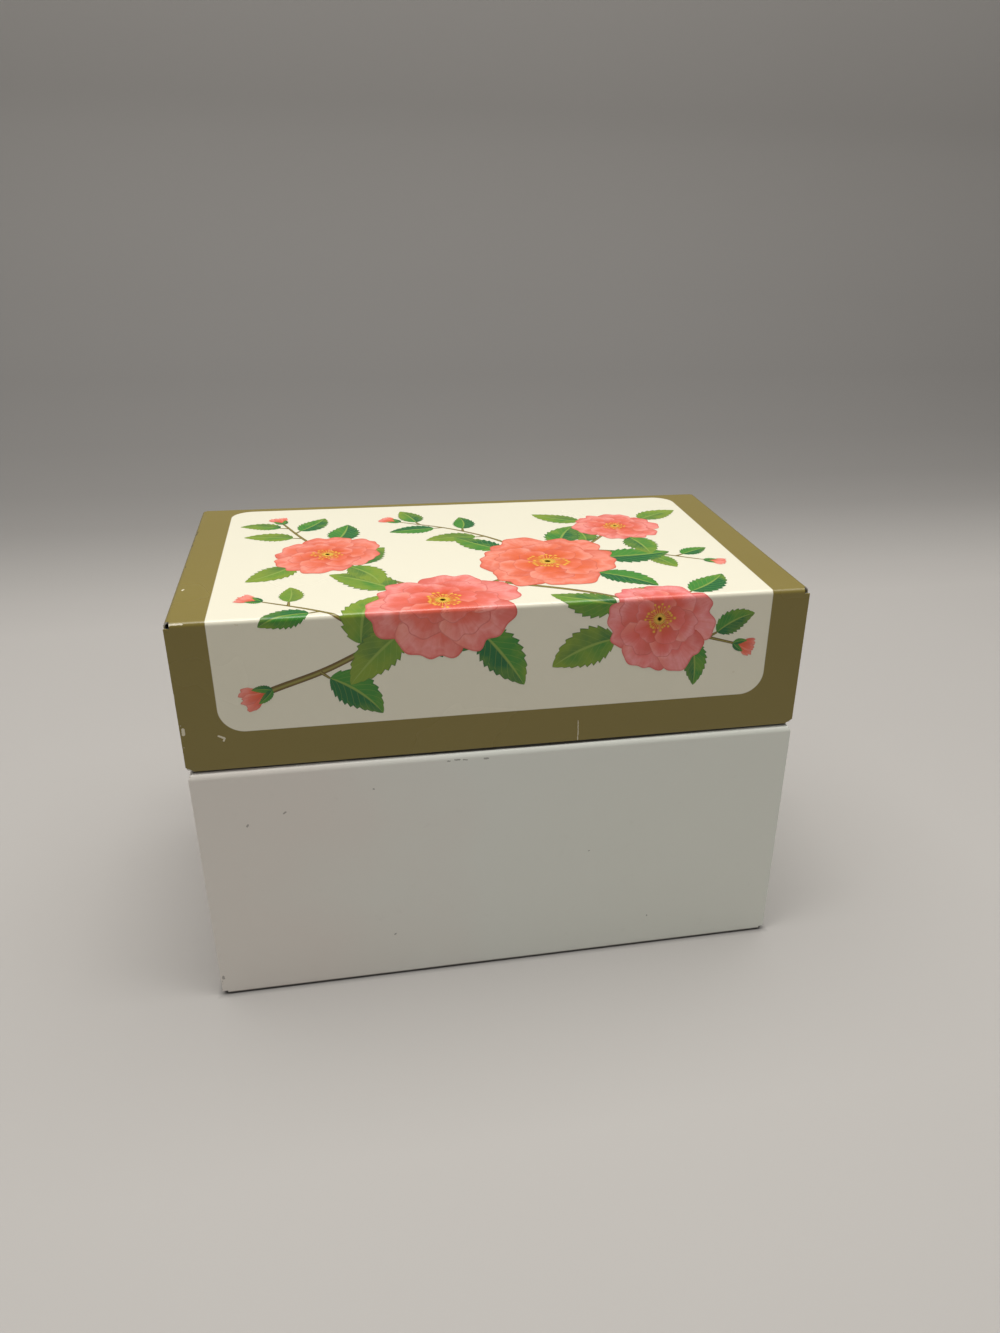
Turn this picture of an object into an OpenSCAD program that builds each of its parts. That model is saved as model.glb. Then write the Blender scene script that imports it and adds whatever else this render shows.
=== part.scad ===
// Recipe card box for upright 127 x 76 mm cards, folded from thin tinplate.
// The tray's walls step in at a shoulder and go on up as a neck. The lid's skirts hang
// outside the neck, and two wire hinges at the back join lid and tray.
// X runs to the right across the front, Y runs to the back and Z runs up, from a point
// under the lid's middle at the base's underside. All sizes are in millimetres.

/* [Overall] */
// Width of the lid across the front
lid_w = 139.7; // [120:0.1:180]
// Depth of the lid from front to back
lid_d = 82.55; // [64:0.05:120]
// Height of the closed box
box_h = 96.8; // [80:0.1:130]
// Height of the lid's front and side skirts
skirt_h = 34.5; // [24:0.1:50]

/* [Sheet] */
// Thickness of the tinplate
sheet_t = 0.3; // [0.2:0.05:0.4]
// Outside radius of the folds
fold_r = 1; // [0.8:0.1:1.4]
// Width of the corner flanges that lie behind the front and back walls
flange_w = 9; // [5:0.5:14]
// Side of the square opening left where three folds meet
relief = 1.2; // [1:0.1:2]
// Height of the flattened hems on the free edges
hem_h = 3; // [2:0.5:4]

/* [Neck] */
// How far the lid stands proud of the tray on each side
lid_proud = 0.2; // [0.1:0.05:1]
// How far the lid sits back of the tray's middle
lid_back = 0.7; // [0:0.05:0.9]
// Gap between the shoulder and the lid's lower edge
seat_gap = 0.4; // [0.3:0.05:0.8]
// Outside radius of the shoulder
shoulder_r = 1.6; // [0.6:0.1:1.7]
// Inside radius where the shoulder turns up into the neck
root_r = 0.3; // [0.2:0.05:0.5]
// Height of the neck's rim above the hinge windows
rim_h = 4.5; // [4.2:0.1:8]

/* [Hinges] */
// Distance from each side of the lid to the middle of the hinge
hinge_inset = 32; // [20:0.5:40]
// Diameter of the hinge wire
pin_d = 1.5; // [1.2:0.1:2]
// Width of the lid's tongue in each hinge
tongue_w = 10; // [6:0.5:14]
// Width of each of the tray's two ears in a hinge
ear_w = 6; // [4:0.5:8]
// Angle of the lid when it is fully open
open_angle = 105; // [95:1:115]

/* [Clearances] */
// Running clearance between the wire and the curls, on the radius
pin_clear = 0.05; // [0.02:0.01:0.1]
// Gap between the curls and the neck behind them
curl_clear = 0.85; // [0.7:0.05:1.1]
// Gap beside the lid's tongue and beside the ears
side_clear = 0.3; // [0.2:0.05:0.6]
// Gap over the shoulder as the lid's back edge swings past it
swing_clear = 0.5; // [0.4:0.05:0.8]
// Gap left at the neck when the lid is fully open
stop_clear = 0.03; // [0.02:0.01:0.1]

/* [Hidden] */
$fn = 64;

// Overlap that lets cuts and joins run past a face
lap = 0.1;
// Free space between the end of a hem and the flange beside it
hem_gap = 0.5;
// How deep paint fills the groove beside the front and back sheets
seam_fill = 0.05;

// Hinge curls, and the line they turn about
curl_r = pin_d / 2 + pin_clear;
knuckle_r = curl_r + sheet_t;
axis_to_neck = knuckle_r + curl_clear;
axis_y = lid_d / 2 - knuckle_r;
hinge_w = tongue_w + 2 * ear_w + 2 * side_clear;
hinge_x = lid_w / 2 - hinge_inset;

// Tray and neck, set in from the lid. The tray's middle is ahead of the lid's.
tray_w = lid_w - 2 * lid_proud;
tray_d = lid_d - 2 * lid_proud;
neck_in = knuckle_r + axis_to_neck - lid_back;
neck_w = lid_w - 2 * neck_in;
neck_d = lid_d - 2 * neck_in;
bend_r = min(shoulder_r, neck_in - lid_proud - root_r);

// Heights above the base
skirt_z = box_h - skirt_h;
shoulder_z = skirt_z - seat_gap;
// The back skirt's lower edge meets the neck when the lid is fully open
skirt_drop = (axis_to_neck + knuckle_r * cos(open_angle)) / sin(open_angle) - stop_clear;
axis_z = shoulder_z + norm([knuckle_r, skirt_drop]) + swing_clear;
back_edge_z = axis_z - skirt_drop;
notch_z = axis_z + knuckle_r + side_clear;

// The ear leaves the neck at its foot, leans out and closes round the wire
ear_foot_z = shoulder_z + root_r + lap;
ear_drop = axis_z - ear_foot_z;
ear_lean = acos(curl_r / norm([axis_to_neck, ear_drop])) - atan2(ear_drop, axis_to_neck);
ear_end_angle = 230;
ear_sheet_l = sqrt(pow(axis_to_neck, 2) + pow(ear_drop, 2) - pow(curl_r, 2));
ear_turn = 360 - (ear_end_angle - (180 - ear_lean));
ear_l = ear_sheet_l + PI / 180 * ear_turn * (curl_r + sheet_t / 2);
// Angle at which the free end of the lid's tongue stops
tongue_end_angle = 80;

window_z = ear_foot_z + ear_l;
rim_z = window_z + rim_h;

// Clipped lower corners of the lid's front skirt
clip_w = 1.5;
clip_h = 0.9;
// Chamfer on the cut ends of the wire, and how far the wire stands out of the ears
pin_chamfer = 0.2;
pin_out = 0.4;

// Curved triangle between a square corner and a quarter circle
module spandrel(r) {
    difference() {
        translate([-lap, -lap]) square(r + lap);
        translate([r, r]) circle(r);
    }
}

// Rectangle about the middle line from z0 to z1, with rounded lower and upper corners
module panel(w, z0, z1, r0, r1) {
    difference() {
        translate([-w / 2, z0]) square([w, z1 - z0]);
        for (side = [0, 1]) mirror([side, 0]) {
            if (r0 > 0) translate([-w / 2, z0]) spandrel(r0);
            if (r1 > 0) translate([-w / 2, z1]) mirror([0, 1]) spandrel(r1);
        }
    }
}

// Plan of a folded shell: front and back sheets of full width, with sides that fold
// round behind them
module plan_outside(w, d) {
    for (side = [0, 1]) mirror([0, side]) translate([-w / 2, -d / 2]) square([w, sheet_t]);
    side_d = d - 2 * sheet_t + 2 * seam_fill;
    translate([0, -side_d / 2]) panel(w, 0, side_d, fold_r, fold_r);
}

// Plan of the space inside a folded shell whose side flanges have the given width
module plan_inside(w, d, flange) {
    side_d = d - 4 * sheet_t;
    inner_r = fold_r - sheet_t;
    translate([0, -side_d / 2]) panel(w - 2 * sheet_t, 0, side_d, inner_r, inner_r);
    square([w - 2 * (fold_r + flange), d - 2 * sheet_t], center = true);
}

// A profile drawn in depth and height, run across the width
module across(l) {
    rotate([90, 0, 90]) linear_extrude(l, center = true) children();
}

// A profile drawn in width and height, run from front to back
module deep(l) {
    rotate([90, 0, 0]) linear_extrude(l, center = true) children();
}

// A plan raised from z0 to z1
module raised(z0, z1) {
    translate([0, 0, z0]) linear_extrude(z1 - z0) children();
}

// Outside of the tray seen along its walls: base fold, wall, shoulder and neck
module tray_profile(w, neck) {
    panel(w, 0, shoulder_z, fold_r, bend_r);
    translate([-neck / 2, shoulder_z - sheet_t]) square([neck, rim_z - shoulder_z]);
    for (side = [0, 1]) mirror([side, 0]) translate([neck / 2, shoulder_z]) spandrel(root_r);
}

// Inside of the same walls, one sheet further in
module tray_hollow(w, neck) {
    inner = neck - 2 * sheet_t;
    roof_z = shoulder_z - sheet_t;
    panel(w - 2 * sheet_t, sheet_t, roof_z, fold_r - sheet_t, bend_r - sheet_t);
    translate([-inner / 2, roof_z - lap]) square([inner, rim_z - roof_z + 2 * lap]);
    for (side = [0, 1]) mirror([side, 0]) translate([inner / 2, roof_z]) spandrel(root_r + sheet_t);
}

// Flattened hem on an upward edge. The wall's outside is at y = 0 and its inside is
// towards +Y.
module hem(l) {
    across(l) {
        translate([sheet_t, -sheet_t]) circle(sheet_t);
        translate([0, -hem_h]) square([2 * sheet_t, hem_h - sheet_t]);
    }
}

// Sector from a0 to a1 degrees, cut out of a curl to leave its mouth
module mouth(a0, a1) {
    reach = 3 * knuckle_r;
    middle = (a0 + a1) / 2;
    polygon([
        [0, 0],
        reach * [cos(a0), sin(a0)],
        reach * [cos(middle), sin(middle)],
        reach * [cos(a1), sin(a1)]
    ]);
}

// Sheet closed round the wire, open from a0 to a1 degrees
module curl(a0, a1) {
    difference() {
        circle(knuckle_r);
        circle(curl_r);
        mouth(a0, a1);
    }
}

// Side view of an ear: up out of the neck, outwards, over the wire and back under it
module ear_profile() {
    out = [-cos(ear_lean), sin(ear_lean)];
    foot = [-axis_to_neck, -ear_drop];
    polygon([
        foot,
        curl_r * out,
        knuckle_r * out,
        foot + sheet_t * out,
        foot + [-sheet_t, 0],
        foot + [-sheet_t, -lap],
        foot + [0, -lap]
    ]);
    curl(180 - ear_lean, ear_end_angle);
}

// Side view of the lid's tongue: down from the skirt, under the wire and up inside
module tongue_profile() {
    translate([curl_r, 0]) square([sheet_t, notch_z - axis_z + lap]);
    curl(0, tongue_end_angle);
}

// Tray, folded from one sheet: base, four stepped walls, hemmed neck and hinge ears
module tray() {
    hem_z = rim_z - hem_h - hem_gap;
    step_z = shoulder_z + root_r;
    color("#f0eee6") {
        translate([0, -lid_back, 0]) {
            difference() {
                intersection() {
                    across(lid_w) tray_profile(tray_d, neck_d);
                    deep(lid_d) tray_profile(tray_w, neck_w);
                    union() {
                        raised(0, step_z) plan_outside(tray_w, tray_d);
                        raised(step_z - lap, rim_z) plan_outside(neck_w, neck_d);
                    }
                }
                intersection() {
                    across(lid_w) tray_hollow(tray_d, neck_d);
                    deep(lid_d) tray_hollow(tray_w, neck_w);
                    union() {
                        raised(0, step_z) plan_inside(tray_w, tray_d, flange_w);
                        raised(step_z - lap, hem_z + lap) plan_inside(neck_w, neck_d, flange_w);
                        raised(hem_z, rim_z + lap) plan_inside(neck_w, neck_d, 0);
                    }
                }
                for (x = [0, 1]) for (y = [0, 1]) mirror([x, 0, 0]) mirror([0, y, 0])
                    translate([-tray_w / 2 - lap, -tray_d / 2 - lap, -lap]) cube(relief + lap);
                for (x = ear_places()) translate([x - ear_w / 2, neck_d / 2 - sheet_t - lap, ear_foot_z])
                    cube([ear_w, sheet_t + 2 * lap, ear_l]);
            }
            for (side = [0, 1]) mirror([0, side, 0])
                translate([0, -neck_d / 2, rim_z]) hem(neck_w - 2 * (fold_r + hem_gap));
            for (side = [0, 1]) mirror([side, 0, 0])
                translate([-neck_w / 2, 0, rim_z]) rotate([0, 0, -90]) hem(neck_d - 2 * (fold_r + hem_gap));
        }
        for (x = ear_places()) translate([x, axis_y, axis_z]) across(ear_w) ear_profile();
    }
}

// Middles of the four ears across the width
function ear_places() = [
    for (hinge = [-1, 1]) for (side = [-1, 1])
        hinge * hinge_x + side * (tongue_w / 2 + side_clear + ear_w / 2)
];

// Lid, folded from one sheet: top, four skirts, hems and hinge tongues
module lid() {
    wall_z = skirt_z + sheet_t;
    flange_z = skirt_z + hem_h + hem_gap;
    color("#84794a") {
        difference() {
            intersection() {
                across(lid_w) panel(lid_d, wall_z, box_h, 0, fold_r);
                deep(lid_d) panel(lid_w, wall_z, box_h, 0, fold_r);
                raised(wall_z, box_h) plan_outside(lid_w, lid_d);
            }
            intersection() {
                across(lid_w) panel(lid_d - 2 * sheet_t, skirt_z, box_h - sheet_t, 0, fold_r - sheet_t);
                deep(lid_d) panel(lid_w - 2 * sheet_t, skirt_z, box_h - sheet_t, 0, fold_r - sheet_t);
                union() {
                    raised(skirt_z, flange_z) plan_inside(lid_w, lid_d, 0);
                    raised(flange_z - lap, box_h) plan_inside(lid_w, lid_d, flange_w);
                }
            }
            for (x = [0, 1]) for (y = [0, 1]) mirror([x, 0, 0]) mirror([0, y, 0])
                translate([-lid_w / 2 - lap, -lid_d / 2 - lap, box_h - relief]) cube(relief + lap);
            back_edge();
            for (side = [0, 1]) mirror([side, 0, 0])
                translate([-lid_w / 2, 0, wall_z]) clipped_corner();
        }
        translate([0, -lid_d / 2, skirt_z]) mirror([0, 0, 1]) hem(lid_w - 2 * (fold_r + hem_gap));
        for (side = [0, 1]) mirror([side, 0, 0]) translate([-lid_w / 2, 0, skirt_z])
            rotate([0, 0, -90]) mirror([0, 0, 1]) hem(lid_d - 2 * (fold_r + hem_gap));
        for (side = [-1, 1]) translate([side * hinge_x, axis_y, axis_z])
            across(tongue_w) tongue_profile();
    }
}

// What is cut from the lid's back sheet: its lower edge and the openings for the hinges
module back_edge() {
    sheet_y = lid_d / 2 - sheet_t;
    translate([-lid_w / 2 - lap, sheet_y, skirt_z]) cube([lid_w + 2 * lap, 1, back_edge_z - skirt_z]);
    opening_w = hinge_w + 2 * side_clear;
    for (side = [-1, 1]) translate([side * hinge_x - opening_w / 2, sheet_y, skirt_z])
        cube([opening_w, 1, notch_z - skirt_z]);
}

// Slanting cut at a lower corner of the lid's front sheet
module clipped_corner() {
    translate([0, -lid_d / 2 + sheet_t / 2, 0]) deep(sheet_t + lap)
        polygon([[-lap, -lap], [clip_w, -lap], [clip_w, 0], [0, clip_h], [-lap, clip_h]]);
}

// Straight wire through the knuckles of one hinge, cut a little longer than they are
module hinge_pin(side) {
    l = hinge_w + 2 * side_clear + 2 * pin_out;
    color("silver") translate([side * hinge_x, axis_y, axis_z]) rotate([0, 90, 0]) {
        cylinder(h = l - 2 * pin_chamfer, d = pin_d, center = true);
        for (end = [0, 1]) mirror([0, 0, end]) translate([0, 0, l / 2 - pin_chamfer])
            cylinder(h = pin_chamfer, d1 = pin_d, d2 = pin_d - 2 * pin_chamfer);
    }
}

module hinge_pin_left() {
    hinge_pin(-1);
}

module hinge_pin_right() {
    hinge_pin(1);
}

tray();
lid();
hinge_pin_left();
hinge_pin_right();
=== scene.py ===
# A small recipe card box, folded from printed tinplate: a plain white tray, and a deep lid
# with an olive gold border round a cream panel that carries a printed spray of flowers.
# The file goes through the box as it is put together, and then sets up the table and light.
# Everything is in metres: X to the right across the front, Y to the back, Z up.
import math

import bmesh
import bpy
import numpy as np
from mathutils import Matrix, Vector


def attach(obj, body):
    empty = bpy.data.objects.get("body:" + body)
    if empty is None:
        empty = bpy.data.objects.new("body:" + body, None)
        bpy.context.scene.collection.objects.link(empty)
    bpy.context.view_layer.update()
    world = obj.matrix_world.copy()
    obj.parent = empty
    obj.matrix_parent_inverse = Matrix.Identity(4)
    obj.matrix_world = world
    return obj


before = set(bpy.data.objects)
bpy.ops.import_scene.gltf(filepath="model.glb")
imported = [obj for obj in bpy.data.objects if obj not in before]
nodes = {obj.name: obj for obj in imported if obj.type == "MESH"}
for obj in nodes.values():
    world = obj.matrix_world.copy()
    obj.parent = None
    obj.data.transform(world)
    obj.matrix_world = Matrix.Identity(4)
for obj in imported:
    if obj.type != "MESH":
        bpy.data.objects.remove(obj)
bpy.context.view_layer.update()
MM = 0.001


# ---- Tinplate ------------------------------------------------------------------------
# Both shells are folded from 0.3 mm tinplate that is enamelled on its outside only, so the
# bare metal shows inside, on the corner flanges and where the hinge ears curl over. The
# flanges are spot welded to the sheets in front of them, which tints the tin round each weld.
SHEET_T = 0.3 * MM
FOLD_R = 1.0 * MM
HEM_H = 3.0 * MM
# Spot welds on a flange: how far from the middle of the box they lie, in mm, as x, y and z
WELDS = [
    (64.6, 40.5, 9.0), (64.6, 40.5, 27.0), (64.6, 40.5, 45.0),
    (64.8, 40.8, 72.5), (64.8, 40.8, 88.0),
]
WELD_R = 1.5 * MM
WELD_DEPTH = 0.08 * MM
TIN_GREY = (0.50, 0.49, 0.46, 1)
TIN_BRIGHT = (0.66, 0.65, 0.62, 1)
TIN_DULL = (0.40, 0.38, 0.33, 1)
WELD_SCORCH = (0.23, 0.21, 0.20, 1)
WELD_DISH = (0.55, 0.54, 0.52, 1)
RUST = (0.17, 0.07, 0.03, 1)


def new_material(name):
    """An empty node material, its node tree and its Principled shader."""
    material = bpy.data.materials.new(name)
    material.use_nodes = True
    tree = material.node_tree
    tree.nodes.clear()
    shader = tree.nodes.new("ShaderNodeBsdfPrincipled")
    output = tree.nodes.new("ShaderNodeOutputMaterial")
    tree.links.new(shader.outputs[0], output.inputs["Surface"])
    return material, tree, shader


def join(tree, value, socket):
    """Gives a socket its value: a link where the value is another socket, a number where not."""
    if isinstance(value, bpy.types.NodeSocket):
        tree.links.new(value, socket)
    else:
        socket.default_value = value


def add(tree, kind, inputs=None, **settings):
    """A shader node with its settings made and its inputs joined."""
    made = tree.nodes.new("ShaderNode" + kind)
    for name, value in settings.items():
        setattr(made, name, value)
    for name, value in (inputs or {}).items():
        join(tree, value, made.inputs[name])
    return made


def calc(tree, operation, a, b=0.0):
    """One sum on two values."""
    return add(tree, "Math", {0: a, 1: b}, operation=operation).outputs[0]


def apart(tree, a, b):
    """How far apart two values are."""
    return calc(tree, "ABSOLUTE", calc(tree, "SUBTRACT", a, b))


def vector(tree, operation, a, b=(0.0, 0.0, 0.0)):
    """One sum on two vectors: its results are a vector, which comes first, and a number."""
    return add(tree, "VectorMath", {0: a, 1: b}, operation=operation).outputs


def spread(tree, value, low, high, to_low=0.0, to_high=1.0):
    """The value, carried from the range low to high onto the range to_low to to_high."""
    names = ("Value", "From Min", "From Max", "To Min", "To Max")
    return add(tree, "MapRange", dict(zip(names, (value, low, high, to_low, to_high)))).outputs[0]


def mixed(tree, share, a, b):
    """Colour a where the share is 0, colour b where it is 1."""
    return add(tree, "Mix", {0: share, 6: a, 7: b}, data_type="RGBA").outputs[2]


def places(tree, scale=(1.0, 1.0, 1.0)):
    """Object coordinates, stretched by a scale along each axis."""
    source = add(tree, "TexCoord").outputs["Object"]
    return add(tree, "Mapping", {"Vector": source, "Scale": scale}).outputs[0]


def split(tree, place):
    """The three parts of a place or another vector."""
    return add(tree, "SeparateXYZ", {0: place}).outputs


def noise(tree, place, per_metre, detail=2.0, roughness=0.5):
    """Cloudy noise from 0 to 1, with so many clouds to the metre."""
    sockets = {"Vector": place, "Scale": per_metre, "Detail": detail, "Roughness": roughness}
    return add(tree, "TexNoise", sockets).outputs["Fac"]


def bumped(tree, shader, height, depth, strength=1.0):
    """Sinks and lifts the shader's surface by the height times the depth, in metres."""
    bump = add(tree, "Bump", {"Height": height, "Distance": depth, "Strength": strength})
    join(tree, bump.outputs[0], shader.inputs["Normal"])


def bare_tinplate():
    """Rolled steel under a thin coat of tin: fine streaks along X, cloudy where it has dulled,
    with a few specks of rust. Each weld is a dish with a scorched ring round it, drawn by the
    distance to the nearest weld."""
    material, tree, shader = new_material("bare_tinplate")
    place = places(tree)
    streaks = noise(tree, places(tree, (30, 1600, 1600)), 1.0, 3)
    clouds = noise(tree, place, 60, 4, 0.6)
    dull = spread(tree, clouds, 0.35, 0.75)
    metal = mixed(tree, streaks, TIN_GREY, TIN_BRIGHT)
    metal = mixed(tree, dull, metal, TIN_DULL)
    from_middle = vector(tree, "ABSOLUTE", place)[0]
    away = 1.0
    for weld in WELDS:
        from_weld = vector(tree, "DISTANCE", from_middle, np.array(weld) * MM)[1]
        away = calc(tree, "MINIMUM", away, from_weld)
    dish = spread(tree, away, 0.5 * WELD_R, WELD_R, 1.0, 0.0)
    scorch = spread(tree, away, WELD_R, 1.6 * WELD_R, 0.75, 0.0)
    metal = mixed(tree, scorch, metal, WELD_SCORCH)
    metal = mixed(tree, dish, metal, WELD_DISH)
    rust = spread(tree, noise(tree, place, 520, 4, 0.7), 0.70, 0.76, 0.0, 0.7)
    join(tree, mixed(tree, rust, metal, RUST), shader.inputs["Base Color"])
    join(tree, spread(tree, rust, 0.0, 0.7, 1.0, 0.2), shader.inputs["Metallic"])
    join(tree, spread(tree, clouds, 0.3, 0.8, 0.24, 0.46), shader.inputs["Roughness"])
    height = calc(tree, "SUBTRACT", calc(tree, "MULTIPLY", streaks, 0.05), dish)
    bumped(tree, shader, height, WELD_DEPTH, 0.6)
    return material


tinplate = bare_tinplate()


def coat(node, paint, painted):
    """Gives a shell its two finishes. A face is enamelled where painted(middle, normal) is true,
    and bare tinplate elsewhere; both arguments are arrays with one row for each face."""
    mesh = node.data
    mesh.materials.clear()
    mesh.materials.append(paint)
    mesh.materials.append(tinplate)
    middle = np.empty(len(mesh.polygons) * 3, np.float32)
    normal = np.empty(len(mesh.polygons) * 3, np.float32)
    mesh.polygons.foreach_get("center", middle)
    mesh.polygons.foreach_get("normal", normal)
    bare = ~painted(middle.reshape(-1, 3), normal.reshape(-1, 3))
    mesh.polygons.foreach_set("material_index", bare.astype(np.int32))
    mesh.update()


def depth_in(points, half_w, half_d):
    """How far points lie inside an upright block with corners rounded to the fold radius."""
    corner = np.abs(points[:, :2]) - (np.array([half_w, half_d]) - FOLD_R)
    outside = np.linalg.norm(np.maximum(corner, 0.0), axis=1)
    return FOLD_R - outside - np.minimum(corner.max(axis=1), 0.0)


# ---- Tray ----------------------------------------------------------------------------
# The open lower box: white stoved enamel outside, with a shoulder and a hemmed neck that the
# lid goes over. The front is scuffed a little, most along the shoulder's fold. Painted shade,
# with some grime, darkens the shoulder in the seam under the lid's edge, and painted shade,
# with some rubbing, darkens the fold round the base.
TRAY_W = 139.3 * MM
TRAY_D = 82.15 * MM
NECK_W = 135.0 * MM
NECK_D = 77.85 * MM
SHOULDER_Z = 61.9 * MM
SHOULDER_R = 1.6 * MM
RIM_Z = 74.27 * MM
# The tray stands a little ahead of the lid
TRAY_Y = -0.7 * MM
# The white turns from rosy through plain to greenish across the box, at these x give or take
# the clouds' sway
ROSY_X = -52 * MM
PLAIN_X = -8 * MM
GREENISH_X = 42 * MM
TONE_SWAY = 16 * MM
ROSY_WHITE = (0.784, 0.740, 0.680, 1)
PLAIN_WHITE = (0.778, 0.788, 0.726, 1)
GREENISH_WHITE = (0.777, 0.790, 0.716, 1)
# Painted shade, with some rubbing, along the fold round the base: how high it is, and how much
# more in the clouds
BASE_RUB_AND_SHADE_H = 0.75 * MM
BASE_RUB_AND_SHADE_SWAY = 0.3 * MM
BASE_RUB_AND_SHADE_DARK = (0.07, 0.062, 0.052, 1)
# Painted shade with some grime on the shoulder under the lid's edge: how far it goes above the
# shoulder's flat, how far down the fold in its middle and at its ends, its middle's x and half
# its length
SEAM_HIGH = 0.5 * MM
SEAM_DEPTH = 0.30 * MM
SEAM_END_DEPTH = 0.1 * MM
SEAM_X = 10.0 * MM
SEAM_HALF = 50.0 * MM
SEAM_SHADE_AND_GRIME = (0.05, 0.042, 0.034, 1)
DIRT = (0.42, 0.39, 0.33, 1)
SCUFF_DARK = (0.11, 0.095, 0.08, 1)
CHIP_DARK = (0.20, 0.17, 0.14, 1)
# How far from a fold its paint cracks off, and how deep the white enamel's grain is
CHIP_REACH = 0.45 * MM
WHITE_GRAIN = 0.006 * MM
# Dark scuffs, as two ends and a half width in mm
TRAY_SCUFFS = [
    ((-58.8, -41.8, 47.6), (-58.6, -41.8, 47.9), 0.26),
    ((-50.6, -41.8, 50.1), (-50.2, -41.8, 50.4), 0.22),
    ((-30.5, -41.8, 54.4), (-30.4, -41.8, 54.4), 0.20),
    ((-27.7, -41.8, 12.5), (-27.5, -41.8, 12.7), 0.20),
    ((-13.6, -41.8, 60.0), (-13.1, -41.8, 60.0), 0.18),
    ((-11.8, -41.8, 60.2), (-10.8, -41.8, 60.2), 0.20),
    ((-9.9, -41.8, 60.1), (-9.2, -41.8, 60.0), 0.18),
    ((-5.1, -41.8, 60.0), (-4.2, -41.8, 59.9), 0.22),
    ((-69.5, -41.2, 15.3), (-69.5, -41.2, 15.8), 0.20),
    ((-69.0, -41.8, 5.1), (-69.0, -41.8, 5.6), 0.30),
    ((-69.4, -41.6, 4.3), (-69.4, -41.6, 2.9), 0.16),
    ((20.4, -41.8, 31.4), (20.6, -41.8, 31.4), 0.14),
    ((36.7, -41.8, 9.1), (36.7, -41.8, 9.4), 0.16),
    ((69.7, -21.0, 33.4), (69.7, -18.6, 33.9), 0.14),
    ((-69.7, 12.4, 20.2), (-69.7, 13.0, 20.9), 0.20),
    ((24.0, 40.4, 26.3), (29.5, 40.4, 27.4), 0.12),
    ((-31.0, 40.4, 12.0), (-30.6, 40.4, 12.1), 0.25),
]


def strokes(tree, place, lines, ragged):
    """1 on any of the lines and 0 off them. The place is carried to the nearest point of a
    line, and its distance there, give or take a ragged edge, is set against the half width."""
    ripple = calc(tree, "SUBTRACT", noise(tree, place, 2300, 3), 0.5)
    ripple = calc(tree, "MULTIPLY", ripple, ragged * MM)
    found = 0.0
    for start, end, half_width in lines:
        start = np.array(start) * MM
        way = np.array(end) * MM - start
        from_start = vector(tree, "SUBTRACT", place, start)[0]
        along = vector(tree, "DOT_PRODUCT", from_start, way / (way @ way))[1]
        share = add(tree, "Clamp", {"Value": along}).outputs[0]
        nearest = vector(tree, "MULTIPLY", way, share)[0]
        away = vector(tree, "DISTANCE", from_start, nearest)[1]
        inside = calc(tree, "LESS_THAN", calc(tree, "ADD", away, ripple), half_width * MM)
        found = calc(tree, "MAXIMUM", found, inside)
    return found


def from_fold(tree, place, half_w, half_d, middle_y, end_z):
    """How far a place on a shell's outside is from the nearest fold: the middle one of its
    depths behind the side, behind the front or back, and behind the closed end."""
    x, y, z = split(tree, place)
    side = calc(tree, "SUBTRACT", half_w, calc(tree, "ABSOLUTE", x))
    front = calc(tree, "SUBTRACT", half_d, apart(tree, y, middle_y))
    end = apart(tree, end_z, z)
    low = calc(tree, "MINIMUM", side, front)
    high = calc(tree, "MAXIMUM", side, front)
    return calc(tree, "MAXIMUM", low, calc(tree, "MINIMUM", high, end))


def fold_chips(tree, place, fold, share):
    """1 where the paint has cracked off along a fold, over about the share of its length."""
    patches = noise(tree, place, 260, 4, 0.7)
    near = spread(tree, fold, 0.0, CHIP_REACH, 1.0, 0.0)
    return calc(tree, "GREATER_THAN", calc(tree, "MULTIPLY", patches, near), 0.62 - 0.5 * share)


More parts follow.
